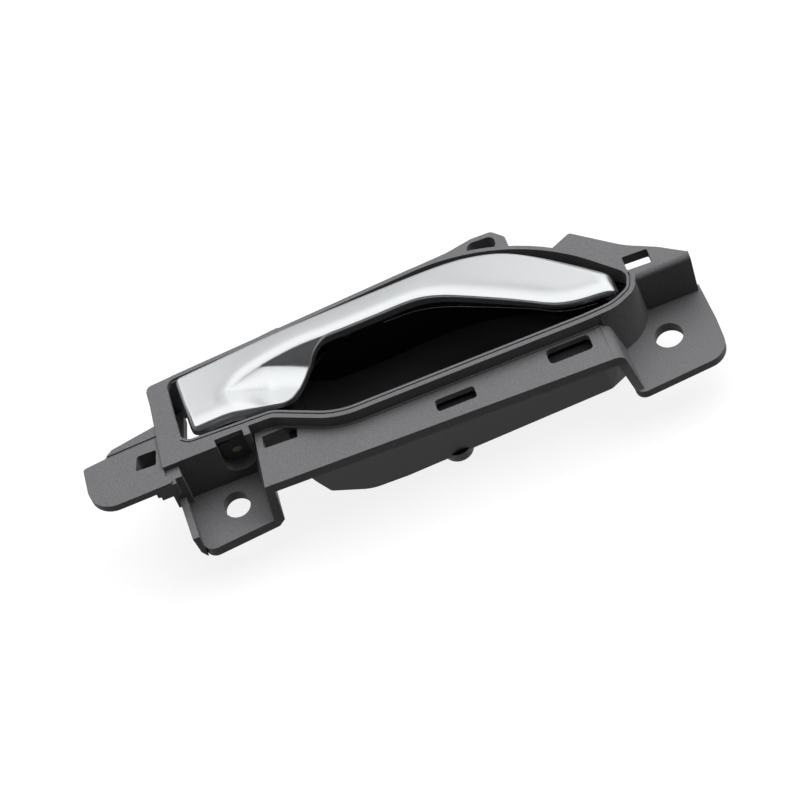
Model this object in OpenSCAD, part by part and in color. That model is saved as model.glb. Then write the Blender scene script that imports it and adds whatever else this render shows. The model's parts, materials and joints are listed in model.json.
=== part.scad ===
// Car interior door handle: a recessed finger cup with a sprung satin pull lever, on a moulded carrier.
// Millimetres. X runs along the handle, Y across it and Z out of the trim face. Every piece is drawn from the
// rim face, z = 0, and then moved so that the origin is the round screw hole, on the front face of its tab.

/* [Opening in the trim face] */
// Left end of the opening
open_left = -66; // [-70:0.5:-64]
// Right end of the opening
open_right = 77.2; // [74:0.2:84]
// Lower edge of the opening beside the finger cup
open_low = 4.8; // [2:0.2:6]
// Lower edge of the opening beside the lever's root
open_step = 14.4; // [12:0.2:15.5]
// Upper edge of the opening at its left end
open_high = 38.8; // [38:0.2:41]
// Slope of the upper edge, in degrees
open_slope = 3.4; // [2.5:0.1:4]
// Radius of the sweep down to the right end
sweep_r = 66; // [50:1:72]
// Depth of the wall round the opening
rim_depth = 7.2; // [6.8:0.1:7.8]
// Width of the rim along the lower side
rim_w = 2.6; // [2:0.1:3]
// Width of the rim along the upper side
rail_w = 1.3; // [1.2:0.1:2]
// Width of the fine groove in the rim
groove_w = 0.45; // [0.3:0.05:0.6]
// Depth of the fine groove in the rim
groove_depth = 0.8; // [0.4:0.1:1.2]
// Width of the thin lip inside the groove
lip_w = 0.75; // [0.5:0.05:1]

/* [Carrier moulding] */
// Thickness of the plates
plate_t = 2.4; // [2:0.1:3]
// Thickness of the walls
wall_t = 2.2; // [1.8:0.1:2.6]
// Depth of the turned edge round tabs and flange
edge_depth = 4; // [3.5:0.1:5]
// Radius of the outer corners
corner_r = 2.4; // [1.5:0.1:3]
// Distance from the opening to the left edge of the block
block_w = 6.6; // [5.5:0.1:9]
// Lower edge of the block round the lever's root
block_low = 9; // [8:0.1:10]
// Depth of the tie bar and skirts behind the root
skirt_depth = 20.4; // [20:0.1:23]

/* [Left plate] */
// Step down from the trim face to the left plate
left_plate_drop = 1; // [0.5:0.1:2]
// Left end of the left plate
left_end = -98; // [-104:0.5:-95]
// Width of the clip window
window_w = 6.5; // [5:0.1:7]
// Height of the clip window
window_h = 5.4; // [4.4:0.1:6]

/* [Right plate] */
// Right end of the right plate
right_end = 97.4; // [96:0.2:104]
// Lower edge of the right plate
right_low = 10.3; // [9:0.1:12]
// Radius of the right plate's folded edge
fold_r = 2; // [1:0.1:2.4]

/* [Flange] */
// Drop from the trim face to the flange
flange_drop = 5; // [4.6:0.1:5.6]
// Width of the fine bead along the flange's inner edge
bead_w = 0.55; // [0.4:0.05:0.8]
// Height of that bead
bead_h = 0.35; // [0.2:0.05:0.6]
// Lower edge of the flange at its left end
flange_low_left = -8.2; // [-10:0.1:-7.6]
// Lower edge of the flange at its right end
flange_low_right = -11.2; // [-13:0.1:-10]

/* [Screw tabs] */
// Height of the rim face above the right tab
rim_rise = 18; // [16:0.5:21]
// Height of the rim face above the left tab
left_tab_drop = 20; // [19.5:0.1:21]
// Round hole, along the handle
round_hole_x = 83.3; // [82.6:0.1:85]
// Round hole, across the handle
round_hole_y = -1.3; // [-3:0.1:0]
// Radius of the round hole
round_hole_r = 4.5; // [3.2:0.1:5]
// Slotted hole, along the handle
slot_hole_x = -57.9; // [-59.5:0.1:-56.5]
// Slotted hole, across the handle
slot_hole_y = 0.4; // [-1:0.1:1.6]
// Radius of the slotted hole's ends
slot_hole_r = 4.1; // [3:0.1:4.6]
// Travel of the slotted hole across the handle
slot_hole_travel = 1.2; // [0.4:0.1:2]

/* [Finger cup] */
// Depth of the cup below the rim face
cup_depth = 33; // [30:0.5:38]
// Wall of the cup
cup_wall = 2.2; // [1.8:0.1:2.6]
// Seat of the cup below the rim face
cup_seat = 9; // [8.6:0.1:9.8]
// Diameter of the bosses on the cup's back
foot_d = 9.6; // [7:0.1:10.4]
// Height of the bosses on the cup's back
foot_h = 2.6; // [1.5:0.1:4]

/* [Lever] */
// Gap between lever and opening at the left end
gap_left = 3.6; // [3.4:0.1:4.5]
// Gap between lever and opening at the right end
gap_right = 3.6; // [3:0.1:4.5]
// Gap between lever and opening along the top
gap_top = 0.9; // [0.7:0.1:1.4]
// Gap between lever root and the lower edge
gap_low = 4.7; // [4.2:0.1:5.2]
// Width of the grip in its straight stretch
grip_w = 6.6; // [6:0.1:8]
// Rise of the lever's face over the rim
face_rise = 2; // [1:0.1:2.2]
// Depth of the dished thumb ramp
dish_depth = 8.6; // [5:0.1:9]
// Level of the joint between face shell and core, below the rim
shell_low = 2.2; // [2:0.1:2.6]
// Depth of the core's band below the shell
core_band = 2.8; // [2.4:0.1:3.2]
// Depth of the cover on the finger side
cover_depth = 3.2; // [2:0.1:4]

/* [Pivot] */
// Pivot axis, along the handle
pivot_x = -51.7; // [-52.4:0.1:-51]
// Pivot axis, below the rim face
pivot_drop = 11; // [10.6:0.1:11.6]
// Diameter of the pivot pin
pin_d = 3; // [2.6:0.1:3.4]
// Running clearance between pin and bush, on the radius
run_gap = 0.05; // [0.02:0.01:0.09]
// Wall of the bushes
bush_wall = 1; // [0.8:0.1:1.2]
// Outer radius of the lever's knuckles
knuckle_r = 5; // [4.6:0.1:5.2]
// Width of the lever's knuckles
knuckle_w = 5; // [4:0.1:5.4]
// Thickness of the bush flanges
bush_flange = 0.8; // [0.6:0.1:1]
// Side play between the lever and the carrier's ears
side_play = 0.3; // [0.2:0.05:0.4]

/* [Return spring] */
// Diameter of the spring wire
wire_d = 1.1; // [0.8:0.1:1.2]
// Radius of the coil, to the middle of the wire
coil_r = 3.2; // [2.9:0.1:3.5]
// Number of turns
coil_turns = 4; // [3:1:4]

/* [Screws] */
// Diameter of the screw shanks
screw_d = 2.6; // [2.2:0.1:3]
// Diameter of the screw heads
head_d = 5; // [4.6:0.1:5.4]
// Height of the screw heads
head_h = 1.6; // [1.2:0.1:2]
// Clearance round a shank, on the radius
shank_gap = 0.2; // [0.1:0.05:0.3]

/* [Cable end] */
// Reach of the cable arm below the pivot
arm_reach = 13; // [12:0.1:14]
// Diameter of the seat for the cable's end
nipple_d = 5; // [4:0.1:5.4]
// Width of the slot for the cable's wire
wire_slot = 2; // [1.5:0.1:2.4]
// Diameter of the seat for the cable's sheath
sheath_d = 6; // [5:0.1:7]

/* [Hidden] */
$fn = 40;
cut = 0.05;
far = 60;
seat_gap = 0.3;

charcoal = [0.26, 0.26, 0.27];
black = [0.06, 0.06, 0.065];
satin = [0.80, 0.81, 0.82];
zinc = [0.72, 0.66, 0.50];
steel = [0.62, 0.63, 0.65];
acetal = [0.85, 0.85, 0.82];
rubber = [0.10, 0.10, 0.10];

// Outlines are lists of [x, y, corner radius]; a corner becomes an arc of its radius.
function xy(p) = [p[0], p[1]];
function unit(v) = v / norm(v);
function turned(s, a) = [s[0] * cos(a) - s[1] * sin(a), s[0] * sin(a) + s[1] * cos(a)];
function arc_steps(r) = r > 20 ? 14 : r > 6 ? 8 : 5;
function fillet(a, b, c, r, reach) =
    r <= 0 ? [b] :
    let (u = unit(a - b), v = unit(c - b), half = acos(u * v) / 2, t = min(r / tan(half), reach))
    let (o = b + unit(u + v) * t / cos(half))
    let (s = b + u * t - o, e = b + v * t - o)
    let (sweep = atan2(s[0] * e[1] - s[1] * e[0], s * e), n = arc_steps(r))
    [for (k = [0 : n]) o + turned(s, sweep * k / n)];
// Two arcs at the ends of one side share it in the ratio of their radii.
function share(p, q) = 0.98 * p[2] / max(0.01, p[2] + q[2]);
function rounded(p) =
    let (n = len(p))
    [for (i = [0 : n - 1])
        let (a = p[(i + n - 1) % n], b = p[i], c = p[(i + 1) % n])
        each fillet(xy(a), xy(b), xy(c), b[2],
            min(norm(xy(a) - xy(b)) * share(b, a), norm(xy(c) - xy(b)) * share(b, c)))];
module outline(p) { polygon(rounded(p)); }

// Extrusion between two levels, and prisms whose outline lies in the XZ or the YZ plane.
module slab(low, high) { translate([0, 0, low]) linear_extrude(high - low) children(); }
module along_y(low, high) { translate([0, high, 0]) rotate([90, 0, 0]) linear_extrude(high - low) children(); }
module along_x(low, high) {
    translate([low, 0, 0]) rotate([90, 0, 90]) linear_extrude(high - low) children();
}
module block(low, high) { translate(low) cube(high - low); }
// A round bar along Y or Z between two levels.
module bar_y(x, z, r, low, high) { translate([x, high, z]) rotate([90, 0, 0]) cylinder(r = r, h = high - low); }
module bar_z(x, y, r, low, high) { translate([x, y, low]) cylinder(r = r, h = high - low); }
// Moves a piece from the rim face to the origin at the round screw hole.
module placed() { translate([-round_hole_x, -round_hole_y, rim_rise]) children(); }

// The opening and what follows it.
function top_y(x) = open_high + tan(open_slope) * (x - open_left);
sweep_x = open_right - 28.6;
function sweep_y(x) = top_y(sweep_x) - 1.1 * (x - sweep_x);
opening = [
    [open_left + 1, top_y(open_left + 1), 3], [sweep_x, top_y(sweep_x), sweep_r],
    [open_right + 0.7, sweep_y(open_right + 0.7), 3.5], [open_right - 1.2, open_low + 3.4, 4],
    [open_right - 7, open_low + 0.5, 14], [open_right - 17, open_low, 0],
    [-18.9, open_low, 25], [-37.3, open_step - 0.2, 8], [open_left - 0.3, open_step + 0.9, 3.5]];
module opening_2d() { outline(opening); }
module grown(r) { offset(r = r) opening_2d(); }
block_left = open_left - block_w;
cup_left = -35.2;
cup_slant = 5.7;
tongue_top = -skirt_depth + 3.8;
tab_low_z = -left_tab_drop - edge_depth;
flare_at = [open_right - 11.6, open_low + 9.2];
flare_r = 15.6;
right_lip = edge_depth - 0.8;
pivot_z = -pivot_drop;
band_low = -shell_low - core_band;
stop_top = band_low - cover_depth - seat_gap;

// The lever's edges, as curves through a few points; the left end and the tip are rounded off.
lever_left = open_left + gap_left;
lever_tip = open_right - gap_right;
function slope_at(p, i) =
    let (a = p[max(i - 1, 0)], b = p[min(i + 1, len(p) - 1)]) (b[1] - a[1]) / (b[0] - a[0]);
function span_of(p, x, i = 0) = (i >= len(p) - 2 || x <= p[i + 1][0]) ? i : span_of(p, x, i + 1);
function curve_y(p, x) =
    let (i = span_of(p, x), w = p[i + 1][0] - p[i][0], t = (x - p[i][0]) / w)
    (2 * t * t * t - 3 * t * t + 1) * p[i][1] + (t * t * t - 2 * t * t + t) * w * slope_at(p, i)
    + (3 * t * t - 2 * t * t * t) * p[i + 1][1] + (t * t * t - t * t) * w * slope_at(p, i + 1);
function nip(s, r) = s >= r ? 0 : r - sqrt(max(0, r * r - (r - max(s, 0)) * (r - max(s, 0))));
grip_top = top_y(0) - gap_top - 1.3;
lever_top = [
    [lever_left, top_y(lever_left) - gap_top], [-20, top_y(-20) - gap_top - 0.8], [8, grip_top + 0.1],
    [24, grip_top + 0.2], [lever_tip - 39.4, grip_top - 0.8], [lever_tip - 29, grip_top - 3.8],
    [lever_tip - 19, grip_top - 9.9], [lever_tip - 9, grip_top - 17.6], [lever_tip, grip_top - 25.6]];
root_low = open_step + gap_low;
grip_low = grip_top - grip_w;
lever_low = [
    [lever_left, root_low], [-37, root_low], [-32, root_low + 1.2], [-26, root_low + 5.4],
    [-20, grip_low - 4.9], [-14, grip_low - 1], [-7, grip_low], [6, grip_low + 0.1], [15, grip_low - 0.4],
    [23, grip_low - 2.8], [33, grip_low - 7.8], [lever_tip - 26, grip_low - 15.8],
    [lever_tip - 20, grip_low - 19.8], [lever_tip - 14.6, grip_low - 21.9], [lever_tip - 7, grip_low - 23],
    [lever_tip, grip_low - 23.6]];
function lever_y1(x) = curve_y(lever_top, x) - nip(x - lever_left, 2.5) - nip(lever_tip - x, 3.4);
function lever_y0(x) = curve_y(lever_low, x) + nip(x - lever_left, 3) + nip(lever_tip - x, 0.6);

// Height of the lever's face: a gentle crown, rolled edges, and the dished ramp under the grip's root.
function ease(t) = let (c = min(1, max(0, t))) c * c * (3 - 2 * c);
function roll(s, w, d) = s >= w ? 0 : d * (1 - sqrt(max(0, 1 - (1 - max(s, 0) / w) * (1 - max(s, 0) / w))));
ridge = [[-60, 26.5], [-48, 31], [-38, 34.6], [-26, grip_low + 1.8], [-10, grip_low + 1.6]];
function dish(x, y) = dish_depth * ease((x + 51) / 27) * ease((curve_y(ridge, x) - y) / 7);
function face_z(x, y) =
    face_rise - 0.9 * ease((lever_left + 12 - x) / 12) - 1.2 * ease((x - 22) / 50)
    - max(roll(lever_y1(x) - y, 1.6, 1.8), roll(y - lever_y0(x), 2.6, 2.4),
          roll(x - lever_left, 2.2, 2), roll(lever_tip - x, 2.2, 2))
    - (x > -12 ? 0 : dish(x, y));
function under_z(x, y) = min(-shell_low, face_z(x, y) - 1.4);

// A closed skin between two heights over the strip from y0(x) to y1(x).
module strip_solid(xs, vs, y0, y1, high, low) {
    n = len(xs);
    m = len(vs);
    pts = [for (side = [0, 1], x = xs, v = vs)
        let (y = y0(x) + (y1(x) - y0(x)) * v) [x, y, side == 0 ? high(x, y) : low(x, y)]];
    function at(side, i, j) = side * n * m + i * m + j;
    polyhedron(pts, concat(
        [for (i = [0 : n - 2], j = [0 : m - 2], f = [0, 1]) f == 0
            ? [at(0, i, j), at(0, i, j + 1), at(0, i + 1, j + 1)]
            : [at(0, i, j), at(0, i + 1, j + 1), at(0, i + 1, j)]],
        [for (i = [0 : n - 2], j = [0 : m - 2], f = [0, 1]) f == 0
            ? [at(1, i, j), at(1, i + 1, j + 1), at(1, i, j + 1)]
            : [at(1, i, j), at(1, i + 1, j), at(1, i + 1, j + 1)]],
        [for (i = [0 : n - 2], f = [0, 1]) f == 0
            ? [at(0, i, 0), at(0, i + 1, 0), at(1, i + 1, 0)] : [at(0, i, 0), at(1, i + 1, 0), at(1, i, 0)]],
        [for (i = [0 : n - 2], f = [0, 1]) f == 0
            ? [at(0, i + 1, m - 1), at(0, i, m - 1), at(1, i, m - 1)]
            : [at(0, i + 1, m - 1), at(1, i, m - 1), at(1, i + 1, m - 1)]],
        [for (j = [0 : m - 2], f = [0, 1]) f == 0
            ? [at(0, 0, j + 1), at(0, 0, j), at(1, 0, j)] : [at(0, 0, j + 1), at(1, 0, j), at(1, 0, j + 1)]],
        [for (j = [0 : m - 2], f = [0, 1]) f == 0
            ? [at(0, n - 1, j), at(0, n - 1, j + 1), at(1, n - 1, j + 1)]
            : [at(0, n - 1, j), at(1, n - 1, j + 1), at(1, n - 1, j)]]));
}
function crowded(a, b, n) = [for (k = [0 : n]) a + (b - a) * (0.55 * k / n + 0.225 * (1 - cos(180 * k / n)))];

// Pivot stack along Y: ear, play, bush flange, knuckle, spring, knuckle, bush flange, play, ear.
lower_ear = [13.2, root_low - 1.7];
upper_ear_low = top_y(pivot_x) - 2.1;
lower_knuckle_y = lower_ear[1] + side_play + bush_flange;
upper_knuckle_y = upper_ear_low - side_play - bush_flange - knuckle_w;
bush_r = pin_d / 2 + run_gap + bush_wall;
skirt_y = top_y(pivot_x) + 0.3;

// Left plate: level, outline and clip window.
left_z = -left_plate_drop;
window_x = block_left - 3.2 - window_w;
bracket_x = block_left - 7.6;
left_plate = [
    [left_end + 0.6, 19.9, 1.2], [block_left - 17.6, 20.6, 0], [block_left - 14.6, 22.6, 1.5],
    [block_left + 3, 25.6, 0], [block_left + 3, 9.6, 0], [block_left - 1.4, 9.4, 0],
    [block_left - 1.7, 6.5, 0.6], [block_left + 1.2, 3.3, 1], [block_left - 12, 3, 0],
    [left_end + 1, 2.9, 7.5], [left_end - 0.1, 10.8, 0.8]];

// Screw points of the cup, and of the lever.
liner_screws = [[-39, 1.4], [38, -5.2], [12, top_y(12) + 3.9], [open_right - 4.2, 26.6]];
lever_screws = [[-8, grip_top - 3.2], [24, grip_top - 5], [lever_tip - 17, grip_top - 16]];
boss_r = screw_d / 2 + 1;
ear_turn = [0, 90, 270, 221];
ear_reach = [6, 6, 3.4, 6];

// Carrier: one charcoal moulding.
module flange_2d() {
    outline([[-44.9, 12.5, 0.6], [-30, 12.5, 0], [0, 10, 0], [open_right - 13, 10, 0],
        [open_right - 13, flange_low_right, 0], [-47.2, flange_low_left, 0.6]]);
}
module flange_slots() {
    outline([[-43.1, 9.8, 0.4], [-33.8, 9.8, 0.4], [-32.1, 8.4, 0.4], [-32.9, 4.8, 0.4], [-43.6, 5.4, 0.4]]);
    outline([[9.4, -1.3, 1], [22.1, -1.3, 1], [22.1, -5.7, 1], [9.4, -5.7, 1]]);
    outline([[46, 0.9, 1.4], [60, 0.9, 1.4], [60, -4.7, 1.4], [46, -4.7, 1.4]]);
}
module turned_edge(depth) {
    slab(-plate_t, 0) children();
    slab(-depth, 0) difference() {
        children();
        offset(delta = -wall_t) children();
    }
}
module flange() {
    translate([0, 0, -flange_drop]) turned_edge(edge_depth) flange_2d();
    // Fine bead where the flange meets the wall of the rim.
    slab(-flange_drop - 0.5, -flange_drop + bead_h) intersection() {
        difference() {
            grown(rim_w + bead_w);
            grown(rim_w - 0.4);
        }
        polygon([[-42.6, -20], [open_right - 13, -20], [open_right - 13, 9], [-42.6, 13]]);
    }
}
module right_tab_2d() {
    outline([[open_right - 10, right_low + wall_t, 0], [right_end + 0.8, right_low + wall_t, 0],
        [right_end + 1.2, -2, 14], [right_end + 0.7, -15.4, 12.5], [round_hole_x - 15.9, -17.8, 3]]);
}
module right_tab() {
    translate([0, 0, -rim_rise]) {
        turned_edge(right_lip) right_tab_2d();
        bar_z(round_hole_x, round_hole_y, round_hole_r + wall_t, -edge_depth, 0);
    }
}
module left_tab_2d() {
    outline([[-72.9, block_low + wall_t, 0], [-47.8, block_low + wall_t, 0], [-48, -10.1, 0],
        [-70, -12.1, 3.4], [-72.6, -7, 1]]);
}
module left_tab() {
    translate([0, 0, -left_tab_drop]) {
        turned_edge(edge_depth) left_tab_2d();
        bar_z(slot_hole_x, slot_hole_y, slot_hole_r + wall_t + slot_hole_travel / 2, -edge_depth, 0);
    }
    // Rib along the tab's left side, and the tall wall that ties the tab to the flange.
    rib_top = -left_tab_drop + 7;
    along_y(-10.6, block_low + 1) polygon([[-73.5, rib_top], [-71.3, rib_top], [-71.3, tab_low_z],
        [-71.6, tab_low_z], [-72.9, tab_low_z + 3]]);
    high = block_low + 2;
    hull() {
        slab(-flange_drop - 0.01, -flange_drop) polygon([[-45.1, high], [-42.8, high],
            [-44.9, flange_low_left], [-47.3, flange_low_left]]);
        slab(tab_low_z + 2.8, tab_low_z + 2.81) polygon([[-48.6, high], [-45.7, high], [-45.7, -10.4], [-48.9, -10.4]]);
        slab(tab_low_z, tab_low_z + 0.01) polygon([[-48.7, high], [-47.8, high], [-47.8, -10], [-48.9, -10]]);
    }
}
module right_skirts() {
    // Wall under the right plate, with the folded edge above it.
    along_x(open_right + 0.6, right_end) outline([[right_low, 0, fold_r], [right_low + wall_t + 0.1, 0, 0],
        [right_low + wall_t + 0.1, -rim_rise - plate_t, 0], [right_low, -rim_rise - plate_t, 0]]);
    // Rolled end of the flange, and the wall that runs down from it to the tab.
    intersection() {
        along_y(-30, 8) outline([[open_right - 14.5, -flange_drop - plate_t, 0], [open_right - 14.5, -flange_drop, 0],
            [open_right - 10.3, -flange_drop, 3.4], [round_hole_x - 13.4, -rim_rise, 0],
            [round_hole_x - 13.4, -rim_rise - 0.8, 0], [round_hole_x - 15.8, -rim_rise - 0.8, 0],
            [open_right - 12.8, -flange_drop - plate_t, 1]]);
        along_x(open_right - 20, open_right) polygon([[8, -flange_drop], [flange_low_right, -flange_drop],
            [flange_low_right, -flange_drop - edge_depth], [-16.4, -rim_rise], [-16.4, -rim_rise - 0.8],
            [8, -rim_rise - 0.8]]);
    }
    // Turned edge under that end.
    block([open_right - 14.5, flange_low_right, -flange_drop - edge_depth],
        [open_right - 11.8, flange_low_right + wall_t, -flange_drop - plate_t + 0.2]);
}
// Flared round wall at the end of the cup: from the rim's edge out to a circle at the tab.
module flare(inset, low, high) {
    hull() {
        slab(high - 0.01, high) intersection() {
            grown(rim_w - inset);
            translate([open_right - 12 - inset, -20]) square([40, 21 + right_low + inset]);
        }
        slab(low, low + 0.01) intersection() {
            translate(flare_at) circle(r = flare_r - inset, $fn = 72);
            translate([open_right - 12 - inset, -20]) square([40, 21 + right_low + inset]);
        }
    }
}
module flared_wall() {
    difference() {
        flare(0, -rim_rise - plate_t, -1);
        flare(wall_t, -rim_rise - right_lip - 1, -1 + cut);
    }
}
module right_plate_2d() {
    outline([[open_right - 16.8, 32.4, 0], [open_right - 10.4, 35.4, 1.2], [open_right + 3.3, 23.4, 30],
        [open_right + 12.3, 18.2, 20], [right_end - 1.6, 13.5, 1.4], [right_end, right_low + fold_r, 0],
        [open_right - 1, right_low + fold_r, 0],
        [open_right - 14, 24, 0]]);
}
module right_window_2d() { outline([[78.3, 19.3, 0.5], [86.4, 18.9, 0.5], [86.3, 13.6, 0.5], [78.3, 14, 0.5]]); }
module left_window_2d() {
    translate([window_x, 11.7]) outline([[1.7, window_h, 1.2], [window_w + 1.4, window_h - 0.2, 0.5],
        [window_w, 0, 0.5], [0, 0.3, 0.5]]);
}
module left_plate_body() {
    translate([0, 0, left_z]) turned_edge(edge_depth - 1.1) outline(left_plate);
    // Raised strip along the back of the plate, pocket behind the window, and the seat of the cable's sheath.
    slab(left_z - plate_t, left_z + 0.5) outline([[block_left - 17, 20.9, 0.3], [block_left - 14.6, 22.6, 1.5],
        [block_left + 3, 25.6, 0], [block_left + 3, 21.6, 0]]);
    slab(-12, left_z) offset(delta = 1.4) left_window_2d();
    along_x(bracket_x, bracket_x + 2.4) polygon([[14, left_z - 1], [14, -20.8], [17.6, -26], [24.4, -26],
        [24.4, left_z - 1]]);
    block([bracket_x + 2.4, 18, -18], [block_left + 2.4, 20.2, left_z - 1]);
    // Stepped rib below the plate's edge.
    block([block_left - 5.2, 3.1, -7.8], [block_left + 0.8, 5.3, left_z - 1]);
    block([block_left - 2, 5, -17], [block_left + 3, block_low + 1, left_z - 1.2]);
}
module pivot_ears() {
    // Lower ear behind the recessed pocket, and a boss on the upper skirt.
    bar_y(pivot_x, pivot_z, knuckle_r + 1, block_low + 1, lower_ear[1]);
    block([pivot_x - knuckle_r - 0.6, block_low + 1, pivot_z + 1],
        [pivot_x + knuckle_r + 0.6, lower_ear[1], pivot_z + 5.4]);
    bar_y(pivot_x, pivot_z, knuckle_r, upper_ear_low, skirt_y + 2.1);
}
module eye_plate_2d() {
    outline([[-4.6, 43, 0], [-4.6, top_y(-4.6) + 4.4, 0.6], [30, top_y(30) + 4.3, 0], [38.6, 50.4, 4],
        [45.2, 50.2, 2.4], [48.6, 46.4, 1.6], [48.6, 40.2, 0], [30, 43, 0]]);
}
module eye_slot_2d() { outline([[36.2, 49, 2.3], [45.4, 48.6, 2.3], [45.2, 43.6, 2.3], [36.2, 44, 2.3]]); }
module eye_plate() {
    slab(-4 - plate_t, -4) eye_plate_2d();
    slab(-4 - 9, -4) intersection() {
        offset(r = 1.3) eye_slot_2d();
        translate([0, 44]) square([100, 30]);
    }
    slab(-3, -1) polygon([[-45, top_y(-45) + 0.5], [-27, top_y(-27) + 0.5], [-27, top_y(-27) + 2.4],
        [-45, top_y(-45) + 1.6]]);
}
module liner_bosses() {
    low = -cup_seat;
    bar_z(liner_screws[0][0], liner_screws[0][1], boss_r, low, -flange_drop - 1);
    bar_z(liner_screws[1][0], liner_screws[1][1], boss_r, low, -flange_drop - 1);
    bar_z(liner_screws[2][0], liner_screws[2][1], boss_r, low, -4 - plate_t + 0.2);
    bar_z(liner_screws[3][0], liner_screws[3][1], boss_r, low, -1);
}
module rim_2d() {
    difference() {
        union() {
            grown(rail_w);
            intersection() {
                grown(rim_w);
                polygon([[-46, -5], [open_right + 9, -5], [open_right + 9, 16], [40, 24], [-46, 24]]);
            }
        }
        opening_2d();
    }
}
module rim() {
    slab(-plate_t, 0) rim_2d();
    // The wall leaves out the left end, where the lever's root swings through.
    slab(-rim_depth, -plate_t) difference() {
        rim_2d();
        translate([-120, -20]) square([120 - 58, 100]);
    }
}
module rim_groove() {
    slab(-groove_depth, cut) difference() {
        grown(lip_w + groove_w);
        grown(lip_w);
        polygon([[-120, 16.2], [-120, 80], [120, 80], [120, 12], [open_right + 4, 12], [40, 30], [-20, 16.2]]);
    }
}
module root_block() {
    slab(-plate_t, 0) difference() {
        outline([[block_left + 1.4, top_y(block_left) + rail_w - 0.1, corner_r],
            [-50, top_y(-50) + rail_w, 0], [-50, 20, 0], [-45.6, 16, 0], [-45.6, block_low, 0.3],
            [block_left - 1.6, block_low - 0.1, 0.6], [block_left, 25, 20]]);
        opening_2d();
    }
}
module root_skirts() {
    // Lower, left and upper walls behind the block, and the tie bar with its stop tongue.
    block([block_left + 0.6, block_low, -left_tab_drop - plate_t], [-45.8, block_low + wall_t, -1]);
    slab(-skirt_depth, -1) polygon([[block_left + 0.9, top_y(block_left) + 0.5], [block_left + 3.4, top_y(block_left) + 0.5],
        [block_left + 2.4, 25], [block_left + 1, block_low + 0.4], [block_left - 1.3, block_low + 0.4],
        [block_left + 0.2, 25]]);
    slab(-skirt_depth, -1) polygon([[block_left + 1, top_y(block_left) - 0.6],
        [-32.4, top_y(-32.4)], [-32.4, top_y(-32.4) + 1.5], [block_left + 1.2, top_y(block_left) + 1]]);
    slab(-skirt_depth, -skirt_depth + 4.2) polygon([[block_left + 1, block_low + 1], [block_left + 5.4, block_low + 1],
        [block_left + 6.1, 28.4], [open_left + 1.7, 36.6], [open_left + 1.7, 39], [block_left + 1, 39]]);
    block([block_left + 4, root_low - 0.8, -skirt_depth], [lever_left + 4, root_low + 6.2, tongue_top]);
    // Deep wall between the root and the flange.
    intersection() {
        slab(-skirt_depth + 1, -rim_depth + 1) difference() {
            grown(rim_w);
            opening_2d();
        }
        along_y(0, 24) polygon([[-45.8, 0], [cup_left - 0.1, 0], [cup_left - 0.1, -cup_seat - 1.5],
            [cup_left + cup_slant - 0.1, -25], [-45.8, -25]]);
    }
    // Web on that wall, behind the gap between the root and the cup.
    block([cup_left - 4.2, open_step - 1.2, -skirt_depth + 1], [cup_left + 2.7, root_low + 12.5, -skirt_depth + 2.8]);
}
module carrier_body() {
    rim();
    root_block();
    root_skirts();
    left_plate_body();
    left_tab();
    slab(-plate_t, 0) difference() {
        right_plate_2d();
        grown(lip_w);
    }
    slab(-edge_depth, 0) intersection() {
        offset(delta = 1.4) right_window_2d();
        right_plate_2d();
    }
    flared_wall();
    // Tab and skirts end at the flared wall.
    difference() {
        union() {
            right_tab();
            right_skirts();
        }
        flare(wall_t - 0.2, -rim_rise - right_lip - 1, -1);
    }
    difference() {
        flange();
        slab(-far, far) opening_2d();
    }
    eye_plate();
    pivot_ears();
    liner_bosses();
}
module carrier_cuts() {
    rim_groove();
    // Pocket for the pin's end, the notch above it, and the bore.
    along_y(block_low - 1, lower_ear[0]) translate([pivot_x, 0]) {
        translate([0, pivot_z]) circle(r = knuckle_r);
        translate([-knuckle_r, pivot_z]) square([2 * knuckle_r - 1, pivot_drop - plate_t]);
    }
    block([pivot_x - knuckle_r, block_low - 1, -plate_t - 1], [pivot_x + knuckle_r - 1, 11.5, cut]);
    bar_y(pivot_x, pivot_z, pin_d / 2, 0, skirt_y + 5);
    // Screw holes.
    bar_z(round_hole_x, round_hole_y, round_hole_r, -far, 0);
    slab(-far, -10) hull() {
        for (s = [-0.5, 0.5]) translate([slot_hole_x, slot_hole_y + s * slot_hole_travel]) circle(r = slot_hole_r);
    }
    for (p = liner_screws) bar_z(p[0], p[1], screw_d / 2, -far, -flange_drop - 0.9);
    // Clip windows, flange slots and the eye.
    slab(-far, cut) right_window_2d();
    slab(-10.5, cut) left_window_2d();
    slab(-flange_drop - plate_t - cut, -flange_drop + cut) flange_slots();
    slab(-far, cut) intersection() {
        eye_slot_2d();
        translate([0, 43]) square([100, 30]);
    }
    // Seat for the cable's sheath, open towards the back.
    translate([bracket_x - 1, 20.6, -22]) rotate([0, 90, 0]) cylinder(d = sheath_d, h = 6);
    block([bracket_x - 2, 20.6 - sheath_d * 0.4, -30], [bracket_x + 5, 20.6 + sheath_d * 0.4, -22]);
}
module carrier() {
    color(charcoal) placed() difference() {
        carrier_body();
        carrier_cuts();
    }
}

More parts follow.
